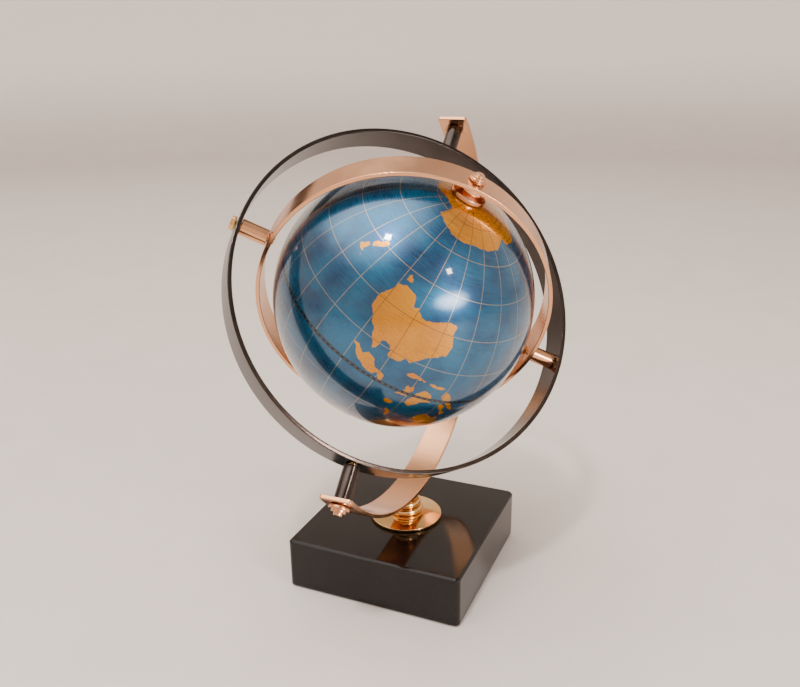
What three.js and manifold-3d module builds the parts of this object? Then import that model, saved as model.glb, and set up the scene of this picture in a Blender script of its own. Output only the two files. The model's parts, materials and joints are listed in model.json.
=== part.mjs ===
// Desk globe in a gimbal of two rings, carried by a C-shaped arm on a square stone base.
// Millimetres, +Z up. The underside of the base is on Z = 0, and the globe's centre is above its middle.
import * as THREE from "three";
import { mergeVertices } from "three/addons/utils/BufferGeometryUtils.js";
import Module from "manifold-3d";

const wasm = await Module();
wasm.setup();

// Base, foot and centre
const gap = 0.3;
const baseWidth = 74;
const baseHeight = 21.5;
const baseChamfer = 0.9;
const baseCorner = 2.2;
const cornerSteps = 3;
const centreHeight = 118;
const footRadius = 15;
const footEdge = 1.1;
const footRise = 2.3;
const beadRadius = 6.2;
const beadTaper = 1;
const beadGroove = 1;
const beadCount = 3;
const beadSteps = 4;

// Globe, rings and arm, all made of the same flat strip
const globeRadius = 50.8;
const stripWidth = 12.7;
const stripThick = 1.6;
const innerRingRadius = 57.1;
const outerRingRadius = 69.85;
const armRadius = 85.1;
const armTab = stripWidth / 2;

// Pose of the gimbal: lean of the first axis to the back, then the turn of each ring
const axisLean = THREE.MathUtils.degToRad(44);
const outerTurn = THREE.MathUtils.degToRad(40);
const innerTurn = THREE.MathUtils.degToRad(59);

// Pivots: spacers and screws
const shankRadius = 1.5;
const boreRadius = shankRadius + gap;
const spacerRadius = 3.2;
const armScrewHead = { radius: 4, height: 3.4 };
const ringScrewHead = { radius: 2.9, height: 2.2 };
const poleScrewHead = { radius: 3.2, height: 2.8 };
const headRimShare = 0.35;
const domeSteps = 3;
const tipReach = 0.9;
const blindFloor = 0.6;
const bossRadius = 6.8;
const bossRim = 1.5;
const bossNeckRadius = 4.8;
const bossSteps = 3;

// Facets
const ringSides = 96;
const armSides = 56;
const footSides = 32;
const pivotSides = 16;
const globeSides = 48;
const globeRows = 28;

const roseGold = { color: 0xdfae94, roughness: 0.22, metalness: 1 };
const gold = { color: 0xd9a45c, roughness: 0.15, metalness: 1 };
const gunmetal = { color: 0x4a4340, roughness: 0.3, metalness: 1 };
const blackStone = { color: 0x1c1817, roughness: 0.12, metalness: 0 };
const blueLacquer = { color: 0x1f5f92, roughness: 0.15, metalness: 0.6 };

const point = (radius, height) => new THREE.Vector2(radius, height);

function piece(name, geometry, finish) {
  const mesh = new THREE.Mesh(geometry, new THREE.MeshStandardMaterial(finish));
  mesh.name = name;
  return mesh;
}

// A profile of radius and height turned about Z
function turned(profile, sides) {
  return new THREE.LatheGeometry(profile, sides).rotateX(Math.PI / 2);
}

function toSolid(geometry) {
  const bare = geometry.clone();
  bare.deleteAttribute("normal");
  bare.deleteAttribute("uv");
  const merged = mergeVertices(bare);
  const corners = [];
  for (let i = 0; i < merged.index.count; i += 3) {
    const [a, b, c] = [0, 1, 2].map((k) => merged.index.getX(i + k));
    if (a !== b && b !== c && c !== a) corners.push(a, b, c);
  }
  const vertProperties = new Float32Array(merged.attributes.position.array);
  const triVerts = new Uint32Array(corners);
  return new wasm.Manifold(new wasm.Mesh({ numProp: 3, vertProperties, triVerts }));
}

function toGeometry(solid) {
  const mesh = solid.getMesh();
  const geometry = new THREE.BufferGeometry();
  geometry.setAttribute("position", new THREE.BufferAttribute(mesh.vertProperties, 3));
  geometry.setIndex(new THREE.BufferAttribute(mesh.triVerts, 1));
  geometry.computeVertexNormals();
  return geometry;
}

// A pair of holes along X or Z, one on each side of the centre, from a given radius outward
function pivotHoles({ axis, from = armRadius / 2 }) {
  const length = armRadius + stripThick - from;
  const hole = new THREE.CylinderGeometry(boreRadius, boreRadius, length, pivotSides);
  hole.translate(0, from + length / 2, 0);
  if (axis === "x") hole.rotateZ(Math.PI / 2);
  else hole.rotateX(Math.PI / 2);
  return toSolid(hole).add(toSolid(hole.clone().rotateY(Math.PI)));
}

function drilled(geometry, holes) {
  return toGeometry(holes.reduce((solid, hole) => solid.subtract(pivotHoles(hole)), toSolid(geometry)));
}

// Square block with rounded upright edges and a chamfer along its top and underside
function baseBlock() {
  const middle = baseWidth / 2 - baseCorner;
  const shape = new THREE.Shape();
  for (let quarter = 0; quarter < 4; quarter += 1) {
    const start = (Math.PI / 2) * quarter;
    const across = Math.SQRT2 * Math.cos(start + Math.PI / 4);
    const along = Math.SQRT2 * Math.sin(start + Math.PI / 4);
    shape.absarc(middle * across, middle * along, baseCorner, start, start + Math.PI / 2, false);
  }
  shape.closePath();
  const block = new THREE.ExtrudeGeometry(shape, {
    depth: baseHeight - 2 * baseChamfer,
    bevelThickness: baseChamfer,
    bevelSize: baseChamfer,
    bevelOffset: -baseChamfer,
    bevelSegments: 1,
    curveSegments: cornerSteps,
  });
  return piece("base_block", block.translate(0, 0, baseChamfer), blackStone);
}

// Shallow disc with a stack of beads that carries the arm
function standFoot() {
  const bottom = baseHeight + gap;
  const top = centreHeight - armRadius - gap;
  const stack = bottom + footRise;
  const beadHeight = (top - stack) / beadCount;
  const profile = [point(0, bottom), point(footRadius, bottom), point(footRadius, bottom + footEdge)];
  profile.push(point(beadRadius + beadTaper + footEdge, stack));
  for (let bead = 0; bead < beadCount; bead += 1) {
    const neck = beadRadius - beadGroove + beadTaper * (1 - bead);
    for (let step = 0; step <= beadSteps; step += 1) {
      if (bead > 0 && step === 0) continue;
      const turn = (Math.PI * step) / beadSteps;
      const radius = neck + beadGroove * Math.sin(turn);
      profile.push(point(radius, stack + beadHeight * (bead + (1 - Math.cos(turn)) / 2)));
    }
  }
  profile.push(point(0, top));
  return piece("stand_foot", turned(profile, footSides), gold);
}

// Half circle of strip in the YZ plane of the leaning frame, with a tab past each pivot
function supportArm() {
  const reach = Math.PI / 2 + armTab / armRadius;
  const shape = new THREE.Shape();
  shape.absarc(0, 0, armRadius, -reach, reach, false);
  shape.absarc(0, 0, armRadius - stripThick, reach, -reach, true);
  const settings = { depth: stripWidth, bevelEnabled: false, curveSegments: armSides };
  const strip = new THREE.ExtrudeGeometry(shape, settings).translate(0, 0, -stripWidth / 2);
  strip.rotateX(Math.PI / 2).rotateZ(Math.PI / 2);
  return piece("support_arm", drilled(strip, [{ axis: "z" }]), roseGold);
}

// Full circle of strip about Y, drilled for the two axes that cross it
function stripRing(name, radius, holes, finish) {
  const inside = radius - stripThick;
  const half = stripWidth / 2;
  const corners = [[inside, -half], [radius, -half], [radius, half], [inside, half], [inside, -half]];
  const profile = corners.map(([r, y]) => point(r, y));
  return piece(name, drilled(new THREE.LatheGeometry(profile, ringSides), holes), finish);
}

function globeBall() {
  const ball = new THREE.SphereGeometry(globeRadius, globeSides, globeRows).rotateX(Math.PI / 2);
  return piece("globe_ball", ball, blueLacquer);
}

// Domed screw along +Z: the shank runs from the tip out to the seat, and the head stands on the seat
function domedScrew(name, head, tip, seat, finish) {
  const rim = seat + head.height * headRimShare;
  const rise = seat + head.height - rim;
  const profile = [point(0, tip), point(shankRadius, tip), point(shankRadius, seat), point(head.radius, seat)];
  for (let step = 0; step < domeSteps; step += 1) {
    const turn = (Math.PI / 2) * (step / domeSteps);
    profile.push(point(head.radius * Math.cos(turn), rim + rise * Math.sin(turn)));
  }
  profile.push(point(0, rim + rise));
  return piece(name, turned(profile, pivotSides), finish);
}

// Bored post along +Z between two strips
function spacer(name, from, to, finish) {
  const corners = [
    [boreRadius, from], [spacerRadius, from], [spacerRadius, to], [boreRadius, to], [boreRadius, from],
  ];
  return piece(name, turned(corners.map(([r, z]) => point(r, z)), pivotSides), finish);
}

// Flanged cup that sits on the ball at a pole, hollowed to the ball's curve
function poleBoss(name, finish) {
  const seat = globeRadius + gap;
  const top = innerRingRadius - stripThick - gap;
  const onBall = (radius) => Math.sqrt(seat * seat - radius * radius);
  const flange = onBall(bossRadius) + bossRim;
  const profile = [];
  for (let step = 0; step <= bossSteps; step += 1) {
    const radius = boreRadius + ((bossRadius - boreRadius) * step) / bossSteps;
    profile.push(point(radius, onBall(radius)));
  }
  profile.push(point(bossRadius, flange), point(bossNeckRadius, flange + bossRim));
  profile.push(point(bossNeckRadius, top), point(boreRadius, top), profile[0]);
  return piece(name, turned(profile, footSides), finish);
}

// The same pivot pieces on both ends of one axis, built along +Z and turned there
function onBothEnds(ends, build) {
  const pair = new THREE.Group();
  for (const { label, turnX = 0, turnY = 0 } of ends) {
    const end = new THREE.Group();
    end.rotation.set(turnX, turnY, 0);
    end.add(...build(label));
    pair.add(end);
  }
  return pair;
}

const armEnds = [{ label: "upper" }, { label: "lower", turnX: Math.PI }];
const ringEnds = [{ label: "right", turnY: Math.PI / 2 }, { label: "left", turnY: -Math.PI / 2 }];
const poleEnds = [{ label: "south" }, { label: "north", turnX: Math.PI }];

function armPivot(label) {
  const ringFace = outerRingRadius - stripThick;
  return [
    spacer(`arm_spacer_${label}`, outerRingRadius + gap, armRadius - stripThick - gap, gunmetal),
    domedScrew(`arm_screw_${label}`, armScrewHead, ringFace + blindFloor + gap, armRadius + gap, roseGold),
  ];
}

function ringPivot(label) {
  const ringFace = innerRingRadius - stripThick;
  const outerFace = outerRingRadius - stripThick;
  return [
    spacer(`ring_spacer_${label}`, innerRingRadius + gap, outerFace - gap, roseGold),
    domedScrew(`ring_screw_${label}`, ringScrewHead, ringFace - tipReach, outerRingRadius + gap, gold),
  ];
}

function polePivot(label) {
  const tip = globeRadius + 2 * gap;
  return [domedScrew(`pole_screw_${label}`, poleScrewHead, tip, innerRingRadius + gap, roseGold)];
}

// The arm's screws end in blind holes in the outer ring, the other screws go right through
const outerHoles = [{ axis: "x" }, { axis: "z", from: outerRingRadius - stripThick + blindFloor }];
const innerHoles = [{ axis: "x" }, { axis: "z" }];

// Each frame leans or turns inside the one before it, as the real pivots do
const globe = new THREE.Group();
globe.add(globeBall(), onBothEnds(poleEnds, (label) => [poleBoss(`pole_boss_${label}`, roseGold)]));

const innerFrame = new THREE.Group();
innerFrame.rotation.x = innerTurn;
innerFrame.add(stripRing("inner_ring", innerRingRadius, innerHoles, roseGold));
innerFrame.add(onBothEnds(poleEnds, polePivot), globe);

const outerFrame = new THREE.Group();
outerFrame.rotation.z = outerTurn;
outerFrame.add(stripRing("outer_ring", outerRingRadius, outerHoles, gunmetal));
outerFrame.add(onBothEnds(ringEnds, ringPivot), innerFrame);

const leaningFrame = new THREE.Group();
leaningFrame.position.z = centreHeight;
leaningFrame.rotation.x = -axisLean;
leaningFrame.add(supportArm(), onBothEnds(armEnds, armPivot), outerFrame);

const group = new THREE.Group();
group.add(baseBlock(), standFoot(), leaningFrame);

export default group;
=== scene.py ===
import json
import math

import bmesh
import bpy
import numpy as np
from mathutils import Matrix, Vector


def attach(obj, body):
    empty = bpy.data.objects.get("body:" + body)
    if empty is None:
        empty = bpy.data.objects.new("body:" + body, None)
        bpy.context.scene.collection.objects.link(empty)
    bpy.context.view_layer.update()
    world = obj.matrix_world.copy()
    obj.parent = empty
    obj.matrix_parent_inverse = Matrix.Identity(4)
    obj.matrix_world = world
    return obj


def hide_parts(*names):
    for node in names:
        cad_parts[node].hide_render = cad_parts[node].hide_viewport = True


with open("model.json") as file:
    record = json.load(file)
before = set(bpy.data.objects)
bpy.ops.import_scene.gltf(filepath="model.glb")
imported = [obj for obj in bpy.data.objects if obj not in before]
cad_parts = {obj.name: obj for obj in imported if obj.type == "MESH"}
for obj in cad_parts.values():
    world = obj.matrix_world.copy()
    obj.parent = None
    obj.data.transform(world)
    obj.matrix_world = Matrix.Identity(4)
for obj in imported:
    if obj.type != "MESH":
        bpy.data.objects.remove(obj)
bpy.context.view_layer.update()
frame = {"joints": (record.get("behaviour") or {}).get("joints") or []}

# Pieces are modelled in millimetres along their own axes, then put in place in metres
millimetre = 0.001
millimetres = Matrix.Scale(millimetre, 4)
gap = 0.3
strip = {"width": 12.7, "thick": 1.6, "soft": 0.28}
shankRadius = 1.5
boreRadius = shankRadius + gap
fullTurn = 2 * math.pi
quarterTurn = math.pi / 2

joints = {joint["name"]: joint for joint in frame["joints"]}
centre = Vector(joints["outer_ring_turn"]["pos_m"])
stemAxis = Vector(joints["outer_ring_turn"]["axis"]).normalized()
crossAxis = Vector(joints["inner_ring_turn"]["axis"]).normalized()
poleAxis = Vector(joints["globe_spin"]["axis"]).normalized()
sideAxis = Vector((1, 0, 0))


def framed(zAxis, xAxis):
    turn = Matrix((xAxis, zAxis.cross(xAxis), zAxis)).transposed()
    return Matrix.Translation(centre) @ turn.to_4x4()


armPlace = framed(stemAxis, sideAxis)
outerPlace = framed(stemAxis, crossAxis)
innerPlace = framed(poleAxis, crossAxis)
armEnds = {"upper": armPlace, "lower": framed(-stemAxis, sideAxis)}
ringEnds = {"right": framed(crossAxis, stemAxis), "left": framed(-crossAxis, stemAxis)}
poleEnds = {"south": innerPlace, "north": framed(-poleAxis, crossAxis)}

srgb = {"full": 255, "knee": 0.04045, "slope": 12.92, "lift": 0.055, "power": 2.4}


# sRGB hex value to linear colour
def linear(code):
    bent = []
    for i in (1, 3, 5):
        share = int(code[i:i + 2], 16) / srgb["full"]
        if share <= srgb["knee"]:
            bent.append(share / srgb["slope"])
        else:
            bent.append(((share + srgb["lift"]) / (1 + srgb["lift"])) ** srgb["power"])
    return (*bent, 1.0)


def addNode(tree, kind, settings=None, inputs=None):
    node = tree.nodes.new(kind)
    for name, value in (settings or {}).items():
        setattr(node, name, value)
    for key, value in (inputs or {}).items():
        if isinstance(value, bpy.types.NodeSocket):
            tree.links.new(value, node.inputs[key])
        else:
            node.inputs[key].default_value = value
    return node


def newMaterial(name):
    material = bpy.data.materials.new(name)
    material.use_nodes = True
    material.node_tree.nodes.clear()
    return material


def perMetre(size):
    return 1 / (size * millimetre)


# A colour mix's sockets go by number, because its other kinds share their names
colourMix = {"data_type": "RGBA"}
mixShare = 0
mixFirst = 6
mixSecond = 7
mixResult = 2
smoothStep = {"interpolation_type": "SMOOTHSTEP"}
noiseSpan = (0.3, 0.7)  # where most of a noise's values lie
noiseMiddle = 0.5

# Plated metal: a smooth skin whose gloss is broken by faint handling marks and a very fine polishing grain
# The real grain is too fine to show, so it is drawn a few tenths of a millimetre wide
plating = {"marksDetail": 5.0, "marksRough": 0.6, "grainDetail": 2.0, "grainDepth": 0.02}


def platedMetal(name, look):
    material = newMaterial(name)
    tree = material.node_tree
    place = addNode(tree, "ShaderNodeTexCoord").outputs["Object"]
    marks = addNode(tree, "ShaderNodeTexNoise", inputs={
        "Vector": place, "Scale": perMetre(look["marks"]),
        "Detail": plating["marksDetail"], "Roughness": plating["marksRough"]}).outputs[0]
    grain = addNode(tree, "ShaderNodeTexNoise", inputs={
        "Vector": place, "Scale": perMetre(look["grain"]), "Detail": plating["grainDetail"]}).outputs[0]
    colour = addNode(tree, "ShaderNodeMix", colourMix, {
        mixShare: marks, mixFirst: linear(look["deep"]), mixSecond: linear(look["pale"])}).outputs[mixResult]
    rough = addNode(tree, "ShaderNodeMapRange", inputs={
        "Value": marks, "From Min": noiseSpan[0], "From Max": noiseSpan[1],
        "To Min": look["gloss"][0], "To Max": look["gloss"][1]}).outputs[0]
    bump = addNode(tree, "ShaderNodeBump", inputs={
        "Height": grain, "Strength": look["bite"],
        "Distance": plating["grainDepth"] * millimetre}).outputs[0]
    shader = addNode(tree, "ShaderNodeBsdfPrincipled", inputs={
        "Base Color": colour, "Metallic": 1.0, "Roughness": rough, "Normal": bump}).outputs[0]
    addNode(tree, "ShaderNodeOutputMaterial", inputs={"Surface": shader})
    return material


# Rose gold: peach pink, satin on the flats, so that the rings read soft next to the mirror-bright foot
roseGold = platedMetal("rose gold plating", {
    "deep": "#D5976D", "pale": "#E9B389", "marks": 9.0, "grain": 0.35, "gloss": (0.15, 0.25), "bite": 0.1})
# Polished brass: yellow gold with sharp reflections on the foot and the slotted screws
polishedGold = platedMetal("polished brass", {
    "deep": "#D4A468", "pale": "#EBC488", "marks": 6.0, "grain": 0.4, "gloss": (0.07, 0.16), "bite": 0.06})
# Black nickel: dark mirror with a brown cast, which sets the middle ring off from the two pink ones
blackNickel = platedMetal("black nickel plating", {
    "deep": "#38322F", "pale": "#4F4743", "marks": 8.0, "grain": 0.35, "gloss": (0.12, 0.2), "bite": 0.1})

# Polished black stone: near black with a fine brown grain and rare pale flecks under a wet-looking polish
stone = {
    "deep": "#060505", "pale": "#191412", "cloud": 11.0, "detail": 6.0, "rough": 0.65, "gloss": (0.05, 0.13),
    "fleck": "#3A322E", "fleckSize": 1.3, "fleckEdge": (0.1, 0.22), "fleckShare": 0.25,
    "ior": 1.5, "polish": 0.3}


def polishedStone():
    material = newMaterial("polished black stone")
    tree = material.node_tree
    place = addNode(tree, "ShaderNodeTexCoord").outputs["Object"]
    cloud = addNode(tree, "ShaderNodeTexNoise", inputs={
        "Vector": place, "Scale": perMetre(stone["cloud"]),
        "Detail": stone["detail"], "Roughness": stone["rough"]}).outputs[0]
    body = addNode(tree, "ShaderNodeMix", colourMix, {
        mixShare: cloud, mixFirst: linear(stone["deep"]),
        mixSecond: linear(stone["pale"])}).outputs[mixResult]
    cells = addNode(tree, "ShaderNodeTexVoronoi", inputs={
        "Vector": place, "Scale": perMetre(stone["fleckSize"])}).outputs["Distance"]
    flecks = addNode(tree, "ShaderNodeMapRange", smoothStep, {
        "Value": cells, "From Min": stone["fleckEdge"][0], "From Max": stone["fleckEdge"][1],
        "To Min": stone["fleckShare"], "To Max": 0.0}).outputs[0]
    colour = addNode(tree, "ShaderNodeMix", colourMix, {
        mixShare: flecks, mixFirst: body, mixSecond: linear(stone["fleck"])}).outputs[mixResult]
    rough = addNode(tree, "ShaderNodeMapRange", inputs={
        "Value": cloud, "From Min": noiseSpan[0], "From Max": noiseSpan[1],
        "To Min": stone["gloss"][0], "To Max": stone["gloss"][1]}).outputs[0]
    shader = addNode(tree, "ShaderNodeBsdfPrincipled", inputs={
        "Base Color": colour, "Roughness": rough, "IOR": stone["ior"],
        "Specular IOR Level": stone["polish"]}).outputs[0]
    addNode(tree, "ShaderNodeOutputMaterial", inputs={"Surface": shader})
    return material


blackStone = polishedStone()
print("metals and stone ready")

weld = 1e-4  # points of a turned shape that are this near are one
speck = 0.002 * millimetre  # and those of a cut piece, which is already in metres
sharpAngle = math.radians(28)  # more than between the facets of a curve
squareAngle = math.radians(60)
quadCorners = 4
edgeBevel = {"profile": 0.5, "affect": "EDGES", "material": -1}


def turned(profile, sides, axis=(0, 0, 1), closed=False):
    shape = bmesh.new()
    points = [shape.verts.new(point) for point in profile]
    pairs = list(zip(points, points[1:]))
    if closed:
        pairs.append((points[-1], points[0]))
    lines = [shape.edges.new(pair) for pair in pairs]
    bmesh.ops.spin(
        shape, geom=points + lines, cent=(0, 0, 0), axis=axis, angle=fullTurn, steps=sides, use_merge=True)
    bmesh.ops.remove_doubles(shape, verts=shape.verts, dist=weld)
    bmesh.ops.recalc_face_normals(shape, faces=shape.faces)
    return shape


# Rounds every sharp edge
def softened(shape, width, segments=3):
    sharp = [edge for edge in shape.edges if edge.calc_face_angle(0) > sharpAngle]
    bmesh.ops.bevel(shape, geom=sharp, offset=width, segments=segments, clamp_overlap=True, **edgeBevel)
    return shape


def upright(pairs):
    return [(radius, 0, height) for radius, height in pairs]


def placed(name, shape, place):
    bmesh.ops.transform(shape, matrix=place @ millimetres, verts=shape.verts)
    bmesh.ops.recalc_face_normals(shape, faces=shape.faces)
    mesh = bpy.data.meshes.new(name)
    shape.to_mesh(mesh)
    shape.free()
    item = bpy.data.objects.new(name, mesh)
    bpy.context.scene.collection.objects.link(item)
    return item


# Cuts bores and slots with a tool that isn't kept, and clears the slivers that a cut can leave
def cut(item, tool, place):
    cutter = placed("cutter", tool, place)
    change = item.modifiers.new("cut", "BOOLEAN")
    change.object = cutter
    change.operation = "DIFFERENCE"
    change.solver = "EXACT"
    reader = bpy.context.evaluated_depsgraph_get()
    mesh = bpy.data.meshes.new_from_object(item.evaluated_get(reader))
    item.modifiers.clear()
    bpy.data.meshes.remove(cutter.data)
    shape = bmesh.new()
    shape.from_mesh(mesh)
    bmesh.ops.remove_doubles(shape, verts=shape.verts, dist=speck)
    bmesh.ops.dissolve_degenerate(shape, edges=shape.edges, dist=speck)
    bored = [face for face in shape.faces if len(face.verts) > quadCorners]
    bmesh.ops.triangulate(shape, faces=bored, ngon_method="BEAUTY")
    shape.to_mesh(mesh)
    shape.free()
    item.data = mesh


def finished(item, node, body, material):
    item.data.materials.clear()
    item.data.materials.append(material)
    item.data.shade_smooth()
    flats = item.modifiers.new("flats", "WEIGHTED_NORMAL")
    flats.keep_sharp = True
    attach(item, body)
    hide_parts(node)
    return item


alongZ = Matrix.Identity(4)
alongX = Matrix.Rotation(quarterTurn, 4, "Y")
offGrid = Matrix.Rotation(math.radians(2.3), 4, "Z")  # keeps a bore's corners off the strip's own edges
bore = {"depth": 3 * strip["thick"], "sides": 32}


# Holes along one axis on both sides of the centre, from a given radius outward
def bores(axis, start):
    tool = bmesh.new()
    for side in (-1, 1):
        middle = Matrix.Translation((0, 0, side * (start + bore["depth"] / 2))) @ offGrid
        bmesh.ops.create_cone(
            tool, cap_ends=True, segments=bore["sides"], radius1=boreRadius, radius2=boreRadius,
            depth=bore["depth"], matrix=axis @ middle)
    return tool


# Base: square block with rounded upright edges and a chamfer along the top and underside
base = {"width": 74.0, "height": 21.5, "chamfer": 0.9, "corner": 2.2, "cornerSteps": 6, "soft": 0.14}


def baseBlock():
    shape = bmesh.new()
    bmesh.ops.create_cube(shape, size=1)
    bmesh.ops.scale(shape, vec=(base["width"], base["width"], base["height"]), verts=shape.verts)
    bmesh.ops.translate(shape, vec=(0, 0, base["height"] / 2), verts=shape.verts)
    uprights = [
        edge for edge in shape.edges
        if abs(edge.verts[0].co.z - edge.verts[1].co.z) > base["height"] / 2]
    bmesh.ops.bevel(shape, geom=uprights, offset=base["corner"], segments=base["cornerSteps"], **edgeBevel)
    rims = [edge for edge in shape.edges if edge.calc_face_angle(0) > squareAngle]
    bmesh.ops.bevel(shape, geom=rims, offset=base["chamfer"], segments=1, **edgeBevel)
    softened(shape, base["soft"])
    return finished(placed("baseBlock", shape, alongZ), "base_block", "stand", blackStone)


baseBlock()

# Foot: thin disc with a rounded rim, and three beads that get smaller upward
foot = {
    "radius": 15.0, "edge": 1.1, "rise": 2.3, "dip": 0.1, "bead": 6.2, "taper": 1.0, "groove": 1.0,
    "count": 3, "steps": 12, "sides": 96, "soft": 0.2}
armRadius = 85.1


def standFoot():
    bottom = base["height"] + gap
    top = centre.z / millimetre - armRadius - gap
    stack = bottom + foot["rise"]
    tall = (top - stack) / foot["count"]
    profile = [(0, bottom), (foot["radius"], bottom), (foot["radius"], bottom + foot["edge"])]
    profile.append((foot["bead"] + foot["taper"] + foot["edge"], stack - foot["dip"]))
    for bead in range(foot["count"]):
        neck = foot["bead"] - foot["groove"] + foot["taper"] * (1 - bead)
        for step in range(foot["steps"] + 1):
            turn = math.pi * step / foot["steps"]
            height = stack + tall * (bead + (1 - math.cos(turn)) / 2)
            profile.append((neck + foot["groove"] * math.sin(turn), height))
    profile.append((0, top))
    shape = softened(turned(upright(profile), foot["sides"]), foot["soft"])
    return finished(placed("standFoot", shape, alongZ), "stand_foot", "stand", polishedGold)


standFoot()

# Arm: half circle of strip with a tab past each pivot
arm = {
    "radius": armRadius, "tab": strip["width"] / 2, "steps": 150, "corner": 1.2, "cornerSteps": 5,
    "longest": 1.01 * strip["thick"]}


def supportArm():
    shape = bmesh.new()
    half = strip["width"] / 2
    reach = quarterTurn + arm["tab"] / arm["radius"]
    inside = arm["radius"] - strip["thick"]
    corners = [(-half, inside), (half, inside), (half, arm["radius"]), (-half, arm["radius"])]
    points = [shape.verts.new((x, r * math.cos(reach), -r * math.sin(reach))) for x, r in corners]
    lines = [shape.edges.new(pair) for pair in zip(points, points[1:] + points[:1])]
    bmesh.ops.spin(
        shape, geom=points + lines, cent=(0, 0, 0), axis=(1, 0, 0), angle=2 * reach, steps=arm["steps"])
    bmesh.ops.holes_fill(shape, edges=[edge for edge in shape.edges if edge.is_boundary])
    bmesh.ops.recalc_face_normals(shape, faces=shape.faces)
    across = [
        edge for edge in shape.edges
        if edge.calc_face_angle(0) > squareAngle and edge.calc_length() < arm["longest"]]
    bmesh.ops.bevel(shape, geom=across, offset=arm["corner"], segments=arm["cornerSteps"], **edgeBevel)
    softened(shape, strip["soft"])
    item = placed("supportArm", shape, armPlace)
    cut(item, bores(alongZ, inside - strip["thick"]), armPlace)
    return finished(item, "support_arm", "stand", roseGold)


supportArm()

# Rings: the same strip as full circles, bored for the two axes that cross them
# The outer ring's bores for the arm are blind, with a floor left at the inner face
outerRing = {"radius": 69.85, "sides": 224, "floor": 0.6}
innerRing = {"radius": 57.1, "sides": 192, "floor": -strip["thick"]}


def stripRing(name, ring, place, node, body, material):
    half = strip["width"] / 2
    inside = ring["radius"] - strip["thick"]
    corners = [(inside, -half, 0), (ring["radius"], -half, 0), (ring["radius"], half, 0), (inside, half, 0)]
    shape = softened(turned(corners, ring["sides"], (0, 1, 0), True), strip["soft"])
    item = placed(name, shape, place)
    cut(item, bores(alongX, inside - strip["thick"]), place)
    cut(item, bores(alongZ, inside + ring["floor"]), place)
    return finished(item, node, body, material)


stripRing("outerRing", outerRing, outerPlace, "outer_ring", "outer_gimbal", blackNickel)
stripRing("innerRing", innerRing, innerPlace, "inner_ring", "inner_gimbal", roseGold)
print("base, foot, arm and rings ready")

# Spacers: bored posts between two strips
spacer = {"radius": 3.2, "sides": 64, "soft": 0.25}


def post(name, start, end, place, node, body, material):
    outline = [(boreRadius, start), (spacer["radius"], start), (spacer["radius"], end), (boreRadius, end)]
    shape = softened(turned(upright(outline), spacer["sides"], closed=True), spacer["soft"])
    return finished(placed(name, shape, place), node, body, material)


# Screws: shank from the tip out to the seat, and a turned head in tiers of (radius, height above the seat)
turning = {"sides": 64, "soft": 0.16}
armScrew = {"tiers": [(4.0, 1.2), (2.8, 2.2), (1.7, 3.2)], "slot": None}
ringScrew = {"tiers": [(2.9, 1.1), (2.55, 1.9)], "slot": {"width": 0.85, "length": 8.0, "floor": 1.0}}
poleScrew = {"tiers": [(3.2, 1.0), (2.5, 1.8), (1.6, 2.6)], "slot": None}


def screw(name, kind, tip, seat, place, node, body, material):
    outline = [(0, tip), (shankRadius, tip), (shankRadius, seat)]
    low = 0
    for radius, high in kind["tiers"]:
        outline += [(radius, seat + low), (radius, seat + high)]
        low = high
    outline.append((0, seat + low))
    shape = softened(turned(upright(outline), turning["sides"]), turning["soft"])
    item = placed(name, shape, place)
    if kind["slot"]:
        tool = bmesh.new()
        bmesh.ops.create_cube(tool, size=1)
        tall = 2 * low
        bmesh.ops.scale(tool, vec=(kind["slot"]["width"], kind["slot"]["length"], tall), verts=tool.verts)
        bmesh.ops.translate(tool, vec=(0, 0, seat + kind["slot"]["floor"] + tall / 2), verts=tool.verts)
        cut(item, tool, place @ offGrid)
    return finished(item, node, body, material)


tipReach = 0.9
outerFace = outerRing["radius"] - strip["thick"]
innerFace = innerRing["radius"] - strip["thick"]
armFace = arm["radius"] - strip["thick"]
for end, place in armEnds.items():
    post("armSpacer" + end.title(), outerRing["radius"] + gap, armFace - gap, place,
         "arm_spacer_" + end, "stand", blackNickel)
    screw("armScrew" + end.title(), armScrew, outerFace + outerRing["floor"] + gap, arm["radius"] + gap,
          place, "arm_screw_" + end, "stand", roseGold)
for end, place in ringEnds.items():
    post("ringSpacer" + end.title(), innerRing["radius"] + gap, outerFace - gap, place,
         "ring_spacer_" + end, "outer_gimbal", roseGold)
    screw("ringScrew" + end.title(), ringScrew, innerFace - tipReach, outerRing["radius"] + gap, place,
          "ring_screw_" + end, "outer_gimbal", polishedGold)

# Globe: ball, with a flanged cup on each pole that is hollowed to the ball's curve
globe = {"radius": 50.8, "subdivisions": 7}
boss = {"radius": 6.8, "rim": 1.5, "neck": 4.8, "steps": 8, "sides": 80, "soft": 0.22}


def poleBoss(name, place, node):
    seat = globe["radius"] + gap
    outline = []
    for step in range(boss["steps"] + 1):
        radius = boreRadius + (boss["radius"] - boreRadius) * step / boss["steps"]
        outline.append((radius, math.sqrt(seat ** 2 - radius ** 2)))
    flange = outline[-1][1] + boss["rim"]
    outline += [(boss["radius"], flange), (boss["neck"], flange + boss["rim"])]
    outline += [(boss["neck"], innerFace - gap), (boreRadius, innerFace - gap)]
    shape = softened(turned(upright(outline), boss["sides"], closed=True), boss["soft"])
    return finished(placed(name, shape, place), node, "globe", roseGold)


for end, place in poleEnds.items():
    screw("poleScrew" + end.title(), poleScrew, globe["radius"] + 2 * gap, innerRing["radius"] + gap, place,
          "pole_screw_" + end, "inner_gimbal", roseGold)
    poleBoss("poleBoss" + end.title(), place, "pole_boss_" + end)
print("pivots ready")

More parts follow.
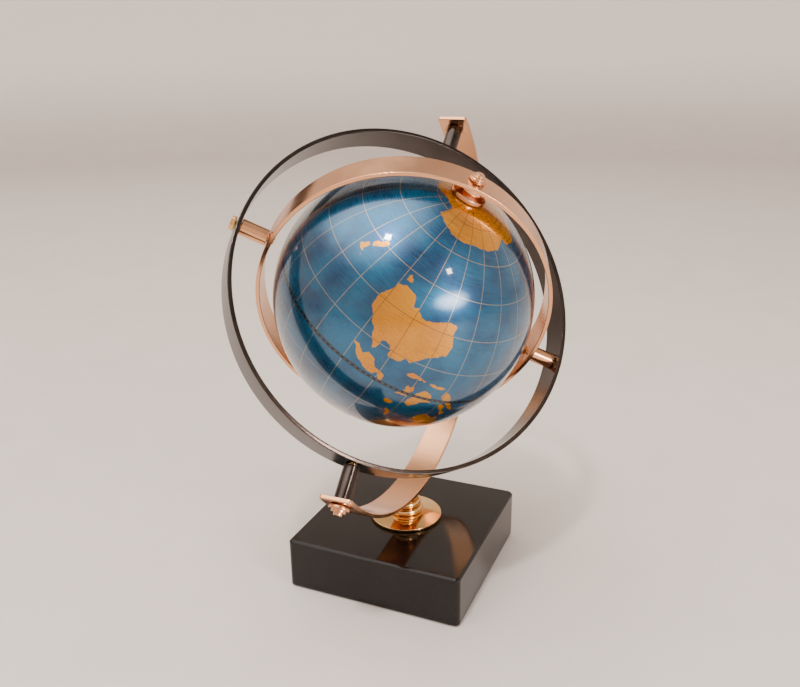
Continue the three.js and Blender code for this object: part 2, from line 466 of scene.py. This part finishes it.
# Map: outlines of the lands as (longitude, latitude), drawn and kept to their broad shapes
lands = {
    "australia": [
        (114, -22), (113.5, -26), (115.5, -31), (115, -34), (118, -35), (121, -34), (124, -33),
        (129, -31.7), (131.5, -31.5), (134, -33), (135.5, -34.8), (137.8, -33), (138.2, -35.5),
        (140, -38), (143.5, -38.8), (146.3, -39), (149.8, -37.5), (151, -34), (152.8, -31.5),
        (153.5, -28.5), (153, -25.3), (150.8, -23.3), (149, -20.5), (146.3, -18.8), (145.3, -15),
        (143.7, -14.3), (142.5, -10.8), (141.7, -13), (141, -16.5), (139.5, -17.5), (137, -16),
        (135.5, -15), (136.8, -12.2), (134, -12), (131, -12.2), (129.7, -14.8), (127, -14), (125, -15.5),
        (123.5, -17.3), (122, -18), (119, -20), (116.5, -20.8)],
    "tasmania": [(144.7, -40.8), (148.2, -40.9), (148, -42.8), (146.8, -43.6), (145.4, -42.3)],
    "newZealandNorth": [
        (172.8, -34.5), (174.5, -36), (175.8, -37), (178.4, -37.7), (177, -39.5), (175.3, -41.5),
        (173.8, -39.3), (174.8, -38)],
    "newZealandSouth": [
        (172.7, -40.6), (174.2, -41.5), (172.8, -43.5), (171, -44.8), (170, -46.4), (168.3, -46.6),
        (166.6, -45.8), (168.5, -44), (171, -42.5)],
    "newGuinea": [
        (131, -0.9), (134, -0.8), (135, -3.3), (138, -1.7), (141.5, -2.8), (145, -4.4), (147.5, -6),
        (147.5, -7.5), (150.5, -10.4), (147.5, -9.8), (144.5, -7.6), (142.8, -9.2), (139, -8.1),
        (138, -5.6), (135, -4.4), (132.7, -4), (133, -2.5), (131.5, -1.6)],
    "borneo": [
        (109, 1.5), (111, 2), (113, 3.2), (116, 6.8), (119, 5), (117.8, 2), (117.5, 0.5), (116.2, -3),
        (114.5, -4), (111.7, -3.4), (110, -1.3)],
    "sumatra": [
        (95.5, 5.6), (97.8, 5), (100.5, 2.3), (103.5, 0), (106, -3), (105.6, -5.8), (102.3, -4),
        (100.3, -1), (98.5, 1.7)],
    "java": [
        (105.2, -6.6), (108.5, -6.6), (111, -6.4), (114.5, -7.7), (114.3, -8.6), (110, -8),
        (106.5, -7.4)],
    "sulawesi": [
        (119.5, 0.6), (121, 1.2), (124.8, 1.6), (123.5, 0.4), (120.5, 0.4), (121.5, -0.9), (123.2, -0.9),
        (121.7, -2), (122.5, -4), (121.5, -4.7), (120.8, -2.8), (120.3, -5.5), (119.5, -5.4),
        (119, -2.8)],
    "timor": [
        (116, -8.4), (119, -8.3), (125, -8.3), (127.2, -8.4), (123.6, -10.3), (120, -10), (118, -8.9)],
    "luzon": [
        (120.2, 16), (120.8, 18.5), (122.2, 18.4), (121.7, 15.5), (124, 13), (123.7, 12.7),
        (120.8, 13.8)],
    "mindanao": [(122, 7), (123.5, 8.7), (125.5, 9.7), (126.5, 7.5), (125.5, 5.8), (124, 6.5)],
    "sriLanka": [(79.8, 8), (80.2, 9.7), (81.8, 7.5), (81, 6.2), (80, 6.2)],
    "madagascar": [
        (49.3, -12), (50.4, -15.7), (48, -22), (47, -25), (45, -25.5), (43.4, -22), (44.4, -19.8),
        (44.3, -16.5), (47, -15.2)],
    "honshu": [
        (131, 34), (133, 35.5), (136, 36), (137.3, 37.3), (139.5, 38.5), (140, 41), (141.5, 41.3),
        (142, 39.5), (140.9, 36), (139.8, 35), (137, 34.6), (135.7, 33.5), (133, 34.2)],
    "hokkaido": [(140, 42), (140.4, 43.3), (141.7, 45.4), (145.3, 43.8), (143.2, 42)],
    "kyushu": [(129.7, 33), (131, 33.8), (132, 32.8), (131, 31.2), (130.2, 31.3)],
    "taiwan": [(120.1, 23), (121.5, 25.2), (121.9, 24.8), (120.8, 22)],
    "sakhalin": [(142, 46), (142, 54), (143, 54), (144.5, 49), (143, 47)],
    "britain": [
        (-5.5, 50.1), (-3, 50.7), (1.3, 51.2), (1.7, 52.7), (0, 53.5), (-1.6, 55.5), (-2, 57.5), (-4, 58),
        (-5, 58.6), (-6, 56.5), (-4.8, 55), (-3, 54), (-4.5, 53), (-5, 51.8), (-3, 51.4)],
    "ireland": [(-10, 52), (-6.3, 52.2), (-6, 54), (-7.5, 55.3), (-9.8, 54)],
    "iceland": [(-24, 65.5), (-22.5, 66.4), (-16, 66.5), (-13.6, 65), (-18.5, 63.5), (-22.7, 63.9)],
    "greenland": [
        (-73, 78), (-65, 80.5), (-50, 82.3), (-32, 83.5), (-20, 81.5), (-18, 77), (-21, 73), (-22, 70.5),
        (-30, 68.2), (-38, 65.7), (-42.5, 61), (-44.5, 60), (-48.5, 61.2), (-52, 65), (-54, 69),
        (-52, 71), (-56, 74), (-61, 76), (-68, 76)],
    "svalbard": [(11, 79), (17, 80.3), (26, 80), (20, 78), (16.5, 76.7)],
    "novayaZemlya": [(52, 71), (55, 73), (60, 76), (68.5, 76.7), (60, 74.5), (57, 71)],
    "africa": [
        (-6, 35.8), (-2, 35.2), (3, 36.8), (10, 37.3), (11, 34), (15.5, 32.2), (20, 31), (20.5, 32.7),
        (25, 31.6), (31, 31.5), (34, 31.2), (32.5, 29.9), (34, 27), (35.7, 23.8), (37.2, 20.5),
        (38.8, 17.5), (41, 14.8), (43, 12.2), (44.5, 10.5), (51.2, 11.8), (50, 8), (47.5, 4), (44, 1),
        (41, -2), (39.2, -5), (39.5, -8), (40.6, -11), (40.6, -15), (37, -17.8), (34.9, -20), (35.4, -24),
        (32.7, -26), (32.3, -28.8), (29.5, -31.5), (25.7, -34), (20, -34.8), (18.3, -34), (17.8, -31.5),
        (15.5, -27.5), (14.4, -22.5), (12, -17.8), (13.6, -12), (12.3, -6), (9.3, -2), (9.8, 2), (9, 4.5),
        (6, 4.3), (4.2, 6.3), (-2, 4.8), (-7.5, 4.4), (-11, 6.8), (-13.3, 9), (-15, 11), (-17, 14.7),
        (-16.3, 19), (-17, 21), (-14.5, 26), (-11.5, 28), (-9.7, 30), (-9.3, 32.5)],
    "eurasia": [
        (-9, 37), (-9.3, 39), (-8.8, 43.2), (-1.8, 43.4), (-1.2, 46), (-4.6, 48.3), (-1.5, 48.7),
        (0, 49.6), (2, 51), (4.5, 52.8), (8, 53.8), (8.3, 57), (10.5, 57.6), (10.8, 54.5), (14, 54),
        (18.5, 54.7), (21, 56), (24, 57.3), (23.5, 59.2), (30, 60), (25, 60.2), (21.5, 61), (21.5, 63),
        (25, 65.2), (22, 65.8), (17.5, 62), (18.5, 60), (16.5, 57.2), (14.3, 55.5), (12.8, 55.6),
        (11.2, 59), (8, 58.1), (5.2, 60), (5.5, 62.2), (10, 64), (14, 67.5), (20, 70), (26, 71),
        (31, 70.2), (41, 67), (40, 66.3), (34, 66.5), (36, 64), (40, 64.7), (44, 66), (44, 68.5),
        (54, 68.5), (60, 69), (68, 68.5), (67, 71), (72, 72.7), (75, 72), (80, 73.6), (87, 75), (98, 76),
        (104, 77.6), (113, 74), (127, 73), (130, 71), (140, 72.6), (152, 71), (160, 69.7), (170, 69.8),
        (180, 69), (190, 66.3), (180, 62.5), (177.5, 62.5), (170, 60), (163, 58), (163, 56), (156.8, 51),
        (155.8, 56), (162, 61), (156.5, 61.5), (152, 59), (143, 59.3), (135.5, 54.8), (141, 52.5),
        (140.3, 48.5), (135.3, 44), (131, 42.8), (127.6, 40), (129.3, 37), (129, 35.2), (126.5, 34.5),
        (126.3, 37.5), (124.5, 39.8), (121.5, 39), (121.8, 40.8), (118, 39), (119, 37.3), (122.3, 37.2),
        (119.5, 35), (121.8, 31.5), (121.8, 29), (119.5, 25.5), (116.5, 23), (113.5, 22), (110.3, 21),
        (108, 21.5), (105.8, 19), (108.8, 15.5), (109.3, 12), (107, 10.4), (104.9, 8.7), (105, 10.4),
        (102.8, 11.8), (100.8, 13.4), (99.5, 11), (99.5, 9.3), (101, 7), (103.4, 4.5), (104.2, 1.4),
        (101.3, 3), (100.3, 6), (98.3, 8), (98.7, 12), (97.6, 16.3), (94.5, 16), (94.3, 19), (91.8, 22.5),
        (89, 21.8), (87, 21.3), (85, 19.5), (82.2, 16.6), (80.2, 15), (79.9, 11), (77.5, 8), (76, 10.5),
        (74.5, 14), (72.8, 19), (72.7, 21.5), (70.5, 20.8), (69, 22.4), (67, 24.8), (62, 25.2),
        (57.5, 25.7), (56.5, 27), (52, 27.7), (50, 30.2), (48, 29.7), (50, 26.5), (51.5, 24.5),
        (54, 24.2), (56.2, 26.2), (57, 24), (59.7, 22.4), (57.8, 19), (55, 17.2), (52, 15.8), (48.5, 14),
        (45, 12.8), (43.4, 12.7), (42.7, 16.5), (39.2, 21), (37, 25), (35, 28), (34.3, 31.2), (35, 33.5),
        (36, 36.7), (32.5, 36.1), (30.5, 36.6), (27.3, 37), (26.3, 39.3), (29, 41.1), (31.5, 41.3),
        (35, 42), (38.5, 41), (41.6, 41.6), (39, 44), (37.5, 45), (39, 47.2), (35, 46.2), (33.5, 44.5),
        (31.5, 46.5), (29.5, 45), (28, 42.5), (28.8, 41.2), (26, 40.7), (23.7, 40.2), (23, 39),
        (24, 37.8), (22.5, 36.6), (21.2, 38.5), (19.4, 41.3), (16.5, 43.5), (13.7, 45.3), (12.4, 44.5),
        (14, 42.5), (18.4, 40.2), (16.8, 39.5), (16, 38), (15.5, 40), (12, 42), (10, 44), (7.5, 43.7),
        (3.5, 43.3), (3, 41.8), (0, 39.5), (-0.5, 37.8), (-2, 36.7), (-5.5, 36), (-7, 37.2)],
    "northAmerica": [
        (-168, 65.6), (-162, 66.5), (-166, 68.5), (-156.5, 71.3), (-141, 69.7), (-128, 70.3),
        (-115, 68.3), (-108, 68), (-96, 68.5), (-94, 72), (-90, 69), (-85.5, 69.7), (-82, 67),
        (-87, 64.5), (-94.5, 60), (-94.5, 58.5), (-92.5, 57), (-82.3, 55.2), (-79.3, 51.3), (-79, 54.7),
        (-77, 57.5), (-78, 60), (-78, 62.4), (-73, 62), (-69.5, 59.5), (-65, 60), (-62, 57), (-56, 53),
        (-57, 51.4), (-66, 50.2), (-70, 47.5), (-65, 48.5), (-64.8, 46), (-61, 46), (-65.5, 43.7),
        (-67, 44.8), (-70.3, 43.5), (-70.5, 41.7), (-74, 40.6), (-75.5, 38), (-75.8, 35.3), (-78, 33.9),
        (-81.2, 31.5), (-80, 27), (-80.4, 25.2), (-81.8, 26), (-82.8, 28.8), (-84.3, 30), (-89.3, 30.2),
        (-89.5, 29.2), (-94, 29.6), (-97.2, 27.5), (-97.7, 22.5), (-96, 19), (-94.5, 18.2), (-91.5, 18.6),
        (-90.4, 21), (-87, 21.5), (-88, 18.3), (-88.8, 15.8), (-83.3, 15), (-83.8, 11), (-81.5, 9),
        (-79.5, 9.5), (-77.4, 8.5), (-78, 7.3), (-80.3, 7.4), (-82.9, 8.2), (-85.7, 10), (-87.6, 13),
        (-92, 14.5), (-94.8, 16.2), (-99.5, 16.7), (-105.5, 20), (-105.7, 22.5), (-109.4, 25.7),
        (-112.5, 29.5), (-114.7, 31.7), (-112, 27.5), (-109.6, 23), (-112.2, 25), (-115, 28),
        (-117.1, 32.5), (-120.6, 34.5), (-123.8, 39), (-124.3, 43), (-124, 46.3), (-123, 49),
        (-127.5, 51), (-130.5, 54.5), (-135, 58.5), (-140, 59.8), (-147, 60.9), (-151.5, 59.3),
        (-154, 58.3), (-158, 56.3), (-164.5, 54.6), (-160, 57), (-157.5, 58.7), (-162, 58.8), (-165, 61),
        (-161, 64.4), (-166, 64.5)],
    "baffin": [
        (-62, 66), (-68, 63), (-73, 64.5), (-78, 65), (-73, 68), (-79, 70), (-89, 71.5), (-85, 73.7),
        (-78, 72.8), (-70, 70.5)],
    "victoria": [(-117, 71), (-112, 73), (-105, 72.5), (-102, 69), (-110, 68.6), (-116, 69.3)],
    "ellesmere": [(-90, 77), (-80, 76.3), (-75, 79), (-62, 82.5), (-75, 83.1), (-90, 81.5), (-86, 79.5)],
    "newfoundland": [(-59.3, 47.7), (-53, 46.8), (-53, 48.5), (-55.7, 51.5), (-57.5, 50)],
    "cuba": [
        (-84.8, 22), (-82, 23.1), (-77.5, 21.5), (-74.2, 20.2), (-77.5, 19.9), (-78.3, 21), (-82, 22.5)],
    "hispaniola": [(-74.3, 18.4), (-73, 19.9), (-69.8, 19.7), (-68.4, 18.5), (-71.3, 17.8)],
    "southAmerica": [
        (-77.4, 8.5), (-75.5, 10.7), (-72, 12), (-70, 11.5), (-67, 10.6), (-62, 10.6), (-60, 8.4),
        (-57, 6), (-51.5, 4.2), (-50, 0.5), (-44.5, -2.5), (-40, -2.9), (-37, -4.8), (-35, -6.5),
        (-35, -9), (-38.5, -13), (-39.2, -17.5), (-41, -22), (-45, -23.5), (-48.5, -26), (-48.7, -28.5),
        (-52, -33), (-54.8, -34.9), (-58, -34), (-57, -36.5), (-59, -38.8), (-62.2, -39), (-62.5, -41),
        (-65, -41), (-65, -43), (-67.5, -46), (-65.8, -47.8), (-69, -51), (-68.4, -52.5), (-65.3, -54.7),
        (-70, -55.3), (-74.5, -52), (-75.5, -47), (-73, -42), (-73.5, -37.5), (-71.6, -33), (-71.5, -29),
        (-70.2, -20), (-72, -17.3), (-76.2, -14), (-79.5, -8), (-81.3, -5), (-80, -3), (-80.8, -1.5),
        (-80, 0.8), (-77.5, 3.5), (-77.5, 7)],
}
caspian = [
    (47.5, 45.5), (51, 47), (53, 45.3), (51, 44.5), (53, 41.5), (53.8, 37.2), (50, 37.5), (49, 41),
    (47.5, 43)]
# Coast of the land around the south pole, once round from west to east
southernCoast = [
    (-180, -78), (-165, -78.3), (-155, -77), (-145, -75.5), (-130, -74.3), (-110, -74.5), (-100, -72.5),
    (-85, -73), (-75, -72), (-68, -68), (-62, -64.5), (-57, -63.3), (-61, -68), (-62, -74), (-75, -77),
    (-60, -79), (-40, -78), (-28, -76), (-15, -72.5), (0, -70), (15, -70), (30, -69.3), (40, -69),
    (50, -66.7), (58, -67), (68, -68), (70, -70.5), (75, -69.5), (85, -67), (100, -66), (115, -66.7),
    (130, -66), (142, -66.8), (155, -69), (168, -71.5), (165, -77.5), (172, -78.3), (180, -78)]
mapTurn = math.radians(37)
mapLean = {"angle": math.radians(4), "axis": (0.34, 0.83, -0.45)}  # off the pivots, where the lands lie best
farAway = 9.0
onceRound = 360


def onSphere(points):
    east, north = np.radians(np.array(points, dtype=float)).T
    return np.column_stack((np.cos(north) * np.cos(east), np.cos(north) * np.sin(east), np.sin(north)))


# Distance to a coast in millimetres, positive on the inner side
def coastDistance(spots, angles, outline, closed=True):
    corners = onSphere(outline)
    count = len(corners) if closed else len(corners) - 1
    nearest = np.full(len(spots), farAway)
    inside = np.zeros(len(spots), dtype=bool)
    for i in range(count):
        after = (i + 1) % len(corners)
        a = corners[i]
        b = corners[after]
        along = np.clip((spots - a) @ (b - a) / ((b - a) @ (b - a)), 0, 1)
        nearest = np.minimum(nearest, np.linalg.norm(spots - a - along[:, None] * (b - a), axis=1))
        east, north = outline[i]
        nextEast, nextNorth = outline[after]
        if closed and north != nextNorth:
            for turn in (0, onceRound):
                crossing = (north > angles[:, 1]) != (nextNorth > angles[:, 1])
                at = east + (angles[:, 1] - north) * (nextEast - east) / (nextNorth - north)
                inside ^= crossing & (angles[:, 0] + turn < at)
        if not closed and east != nextEast:
            crossing = (east > angles[:, 0]) != (nextEast > angles[:, 0])
            at = north + (angles[:, 0] - east) * (nextNorth - north) / (nextEast - east)
            inside ^= crossing & (angles[:, 1] < at)
    return np.where(inside, nearest, -nearest) * globe["radius"]


def mapAxes():
    north = -poleAxis
    beside = north.cross(crossAxis)
    zero = math.cos(mapTurn) * crossAxis - math.sin(mapTurn) * beside
    lean = Matrix.Rotation(mapLean["angle"], 3, Vector(mapLean["axis"]).normalized())
    return lean @ Matrix((zero, north.cross(zero), north)).transposed()


# Lacquer: metallic blue sea and gold land under one clear coat, with a fine grid of meridians and parallels
sea = {"deep": "#093256", "pale": "#186186", "line": "#BFA56A", "lineShare": 0.5}
land = {"deep": "#B26D00", "pale": "#D08C04", "line": "#4A2A0A", "lineShare": 0.8}
grid = {"step": math.radians(15), "half": 0.06, "soft": 0.09}
equator = {
    "half": 0.6, "soft": 0.12, "thread": (0.2, 0.3), "colour": "#050B1A", "dash": math.radians(2.5),
    "dashColour": "#454A4C"}
coast = {"ragged": 1.1, "size": 2.6, "detail": 6.0, "rough": 0.6, "soft": 0.09}
# Pearl: streaks brushed two ways, seen where the light is strong, over broad clouds
# The real flakes are too fine to show, so the streaks are drawn wider than they are
pearl = {
    "brushed": {"along": (6.0, 6.0, 0.16), "across": (0.16, 0.2, 6.0)}, "detail": 2.0, "share": 0.3,
    "span": (0.35, 0.65), "gloss": (0.24, 0.4), "cloud": 14.0, "cloudDetail": 4.0, "cloudShare": 0.7}
clearCoat = {"metallic": 0.75, "weight": 1.0, "rough": 0.05, "ior": 1.45}


def lacquer():
    material = newMaterial("blue and gold lacquer")
    tree = material.node_tree
    place = addNode(tree, "ShaderNodeTexCoord").outputs["Object"]
    back = mapAxes().transposed()
    onMap = addNode(tree, "ShaderNodeMapping", inputs={
        "Vector": place, "Rotation": back.to_euler(), "Location": -(back @ centre)}).outputs[0]
    facing = addNode(tree, "ShaderNodeVectorMath", {"operation": "NORMALIZE"}, {0: onMap}).outputs[0]
    parts = addNode(tree, "ShaderNodeSeparateXYZ", inputs={0: facing})
    found = {part.name: part for part in parts.outputs}
    found["drawn"] = addNode(tree, "ShaderNodeAttribute", {"attribute_name": "coast"}).outputs["Fac"]
    found["ragged"] = addNode(tree, "ShaderNodeTexNoise", inputs={
        "Vector": place, "Scale": perMetre(coast["size"]),
        "Detail": coast["detail"], "Roughness": coast["rough"]}).outputs[0]
    for way, sizes in pearl["brushed"].items():
        stretched = addNode(tree, "ShaderNodeMapping", inputs={
            "Vector": onMap, "Scale": [perMetre(size) for size in sizes]}).outputs[0]
        found[way] = addNode(tree, "ShaderNodeTexNoise", inputs={
            "Vector": stretched, "Scale": 1.0, "Detail": pearl["detail"]}).outputs[0]
    found["cloud"] = addNode(tree, "ShaderNodeTexNoise", inputs={
        "Vector": place, "Scale": perMetre(pearl["cloud"]), "Detail": pearl["cloudDetail"]}).outputs[0]

    # Sums: places on the map, and distances in millimetres from the grid, the coast and the equator
    # The coast that is drawn gets a small noise, as a real coast runs
    sums = {
        "latitude": ("ARCSINE", "Z"),
        "longitude": ("ARCTAN2", "Y", "X"),
        "narrowing": ("COSINE", "latitude"),
        "ringRadius": ("MULTIPLY", "narrowing", globe["radius"]),
        "offParallel": ("PINGPONG", "latitude", grid["step"] / 2),
        "offMeridian": ("PINGPONG", "longitude", grid["step"] / 2),
        "fromParallel": ("MULTIPLY", "offParallel", globe["radius"]),
        "fromMeridian": ("MULTIPLY", "offMeridian", "ringRadius"),
        "fromGrid": ("MINIMUM", "fromParallel", "fromMeridian"),
        "wander": ("SUBTRACT", "ragged", noiseMiddle),
        "shift": ("MULTIPLY", "wander", 2 * coast["ragged"]),
        "fromCoast": ("ADD", "drawn", "shift"),
        "offEquator": ("ABSOLUTE", "latitude"),
        "fromEquator": ("MULTIPLY", "offEquator", globe["radius"]),
        "offDash": ("PINGPONG", "longitude", equator["dash"] / 2),
        "dashes": ("GREATER_THAN", "offDash", equator["dash"] / 4),
        "bothWays": ("ADD", "along", "across"),
        "streaks": ("DIVIDE", "bothWays", len(pearl["brushed"])),
        "streakShare": ("MULTIPLY", "streaks", pearl["share"]),
        "cloudShare": ("MULTIPLY", "cloud", pearl["cloudShare"]),
        "shade": ("ADD", "streakShare", "cloudShare"),
    }
    for name, (operation, *values) in sums.items():
        terms = {i: found.get(value, value) for i, value in enumerate(values)}
        found[name] = addNode(tree, "ShaderNodeMath", {"operation": operation}, terms).outputs[0]

    # Fades: what is read, where the fade starts and ends, and what it gives there
    fades = {
        "seaLines": ("fromGrid", grid["half"], grid["half"] + grid["soft"], sea["lineShare"], 0),
        "landLines": ("fromGrid", grid["half"], grid["half"] + grid["soft"], land["lineShare"], 0),
        "onLand": ("fromCoast", -coast["soft"], coast["soft"], 0, 1),
        "band": ("fromEquator", equator["half"], equator["half"] + equator["soft"], 1, 0),
        "thread": ("fromEquator", *equator["thread"], 1, 0),
        "tone": ("shade", *noiseSpan, 0, 1),
        "rough": ("streaks", *pearl["span"], *pearl["gloss"]),
    }
    for name, (value, start, end, first, last) in fades.items():
        found[name] = addNode(tree, "ShaderNodeMapRange", smoothStep, {
            "Value": found[value], "From Min": start, "From Max": end,
            "To Min": first, "To Max": last}).outputs[0]

    # Blends: the share of the second colour, and the two colours
    blends = {
        "openSea": ("tone", linear(sea["deep"]), linear(sea["pale"])),
        "openLand": ("tone", linear(land["deep"]), linear(land["pale"])),
        "linedSea": ("seaLines", "openSea", linear(sea["line"])),
        "linedLand": ("landLines", "openLand", linear(land["line"])),
        "chart": ("onLand", "linedSea", "linedLand"),
        "dashed": ("dashes", linear(equator["colour"]), linear(equator["dashColour"])),
        "bandColour": ("thread", linear(equator["colour"]), "dashed"),
        "colour": ("band", "chart", "bandColour"),
    }
    for name, (share, first, second) in blends.items():
        found[name] = addNode(tree, "ShaderNodeMix", colourMix, {
            mixShare: found[share], mixFirst: found.get(first, first),
            mixSecond: found.get(second, second)}).outputs[mixResult]
    shader = addNode(tree, "ShaderNodeBsdfPrincipled", inputs={
        "Base Color": found["colour"], "Metallic": clearCoat["metallic"], "Roughness": found["rough"],
        "Coat Weight": clearCoat["weight"], "Coat Roughness": clearCoat["rough"],
        "Coat IOR": clearCoat["ior"]}).outputs[0]
    addNode(tree, "ShaderNodeOutputMaterial", inputs={"Surface": shader})
    return material


def globeBall():
    shape = bmesh.new()
    bmesh.ops.create_icosphere(shape, subdivisions=globe["subdivisions"], radius=globe["radius"])
    item = placed("globeBall", shape, Matrix.Translation(centre))
    mesh = item.data
    flat = np.zeros(3 * len(mesh.vertices))
    mesh.vertices.foreach_get("co", flat)
    spots = (flat.reshape(-1, 3) - np.array(centre)) @ np.array(mapAxes())
    spots /= np.linalg.norm(spots, axis=1)[:, None]
    angles = np.degrees(np.column_stack((np.arctan2(spots[:, 1], spots[:, 0]), np.arcsin(spots[:, 2]))))
    field = coastDistance(spots, angles, southernCoast, closed=False)
    for outline in lands.values():
        field = np.maximum(field, coastDistance(spots, angles, outline))
    field = np.minimum(field, -coastDistance(spots, angles, caspian))
    layer = mesh.attributes.new("coast", "FLOAT", "POINT")
    layer.data.foreach_set("value", field)
    return finished(item, "globe_ball", "globe", lacquer())


globeBall()
print("globe ready")

# Matt board: pale floor with faint clouds, curving up into a round wall far behind. The wall's colour is
# painted light: paler than the floor's, to make up for the weaker lamp light on the bend and wall, so that
# the stone's polish shows against it
sweep = {
    "floor": 1.7, "bend": 0.5, "top": 2.4, "steps": 16, "sides": 128, "pale": "#D6CDC6", "deep": "#CBC2BB",
    "paintedLightWall": "#FBF4EE", "cloud": 40.0, "detail": 3.0, "rough": 0.55}


def mattBoard():
    material = newMaterial("pale matt board")
    tree = material.node_tree
    place = addNode(tree, "ShaderNodeTexCoord").outputs["Object"]
    cloud = addNode(tree, "ShaderNodeTexNoise", inputs={
        "Vector": place, "Scale": perMetre(sweep["cloud"]), "Detail": sweep["detail"]}).outputs[0]
    board = addNode(tree, "ShaderNodeMix", colourMix, {
        mixShare: cloud, mixFirst: linear(sweep["deep"]),
        mixSecond: linear(sweep["pale"])}).outputs[mixResult]
    height = addNode(tree, "ShaderNodeSeparateXYZ", inputs={0: place}).outputs["Z"]
    # painted light: the colour turns to the paler wall colour as the board rises, making up for the weaker
    # light on the bend and wall
    rise = addNode(tree, "ShaderNodeMapRange", smoothStep, {
        "Value": height, "From Min": 0.0, "From Max": sweep["bend"] / 2,
        "To Min": 0.0, "To Max": 1.0}).outputs[0]
    colour = addNode(tree, "ShaderNodeMix", colourMix, {
        mixShare: rise, mixFirst: board, mixSecond: linear(sweep["paintedLightWall"])}).outputs[mixResult]
    shader = addNode(tree, "ShaderNodeBsdfPrincipled", inputs={
        "Base Color": colour, "Roughness": sweep["rough"]}).outputs[0]
    addNode(tree, "ShaderNodeOutputMaterial", inputs={"Surface": shader})
    return material


def paleSweep():
    profile = [(0, 0, 0)]
    for step in range(sweep["steps"] + 1):
        turn = quarterTurn * step / sweep["steps"]
        away = sweep["floor"] + sweep["bend"] * math.sin(turn)
        profile.append((away, 0, sweep["bend"] * (1 - math.cos(turn))))
    profile.append((sweep["floor"] + sweep["bend"], 0, sweep["top"]))
    shape = turned(profile, sweep["sides"])
    bmesh.ops.reverse_faces(shape, faces=shape.faces)
    mesh = bpy.data.meshes.new("paleSweep")
    shape.to_mesh(mesh)
    shape.free()
    mesh.shade_smooth()
    mesh.materials.append(mattBoard())
    item = bpy.data.objects.new("paleSweep", mesh)
    bpy.context.scene.collection.objects.link(item)


paleSweep()

# Soft studio light: a wide panel above and a low one at the right, which fade to their edges, and two
# small lamps
lamps = {
    "topPanel": {
        "at": (-0.36, -0.2, 1.45), "size": (3.2, 2.7), "power": 104.0, "colour": "#FFF6EE",
        "edge": (0.15, 0.5)},
    "frontLamp": {"at": (-0.011, -0.376, 0.875), "size": (0.07, 0.07), "power": 4.0, "colour": "#FFFFFF"},
    "rightPanel": {
        "at": (0.743, -0.381, 0.25), "size": (0.56, 0.26), "power": 18.0, "colour": "#FFFDFB",
        "edge": (0.05, 0.5)},
    "sideLamp": {"at": (0.677, -0.29, 0.56), "size": (0.06, 0.06), "power": 1.0, "colour": "#FFE9E0"},
}
panelMiddle = (0.5, 0.5, 0.0)  # in a lamp's own coordinates, where it is one unit wide and one high


def areaLamp(name, lamp):
    light = bpy.data.lights.new(name, "AREA")
    light.shape = "RECTANGLE"
    light.size, light.size_y = lamp["size"]
    light.energy = lamp["power"]
    light.color = linear(lamp["colour"])[:3]
    if "edge" in lamp:
        light.use_nodes = True
        tree = light.node_tree
        tree.nodes.clear()
        spot = addNode(tree, "ShaderNodeNewGeometry").outputs["Parametric"]
        away = addNode(tree, "ShaderNodeVectorMath", {"operation": "DISTANCE"}, {0: spot, 1: panelMiddle})
        fall = addNode(tree, "ShaderNodeMapRange", smoothStep, {
            "Value": away.outputs["Value"], "From Min": lamp["edge"][0], "From Max": lamp["edge"][1],
            "To Min": 1.0, "To Max": 0.0}).outputs[0]
        glow = addNode(tree, "ShaderNodeEmission", inputs={"Strength": fall}).outputs[0]
        addNode(tree, "ShaderNodeOutputLight", inputs={"Surface": glow})
    item = bpy.data.objects.new(name, light)
    item.location = lamp["at"]
    item.rotation_euler = (centre - item.location).to_track_quat("-Z", "Y").to_euler()
    bpy.context.scene.collection.objects.link(item)


for name, lamp in lamps.items():
    areaLamp(name, lamp)

# Even light from all round
room = {"colour": "#EFE5DD", "strength": 0.7}
world = bpy.data.worlds.new("softRoom")
world.use_nodes = True
world.node_tree.nodes.clear()
air = addNode(world.node_tree, "ShaderNodeBackground", inputs={
    "Color": linear(room["colour"]), "Strength": room["strength"]}).outputs[0]
addNode(world.node_tree, "ShaderNodeOutputWorld", inputs={"Surface": air})
bpy.context.scene.world = world

# Camera at the photograph's angle
view = {
    "at": (0.12254, -0.2862, 0.20402), "yaw": math.radians(23.49), "pitch": math.radians(-18.65),
    "roll": math.radians(-0.76), "lens": 37.02, "sensor": 36.0, "near": 0.01}


def photoCamera():
    camera = bpy.data.cameras.new("photoCamera")
    camera.sensor_width = view["sensor"]
    camera.sensor_fit = "HORIZONTAL"
    camera.lens = view["lens"]
    camera.clip_start = view["near"]
    item = bpy.data.objects.new("photoCamera", camera)
    turn = Matrix.Rotation(view["yaw"], 4, "Z") @ Matrix.Rotation(quarterTurn + view["pitch"], 4, "X")
    lean = Matrix.Rotation(view["roll"], 4, "Z")
    item.matrix_world = Matrix.Translation(view["at"]) @ turn @ lean
    bpy.context.scene.collection.objects.link(item)
    bpy.context.scene.camera = item


photoCamera()
print("stage ready")
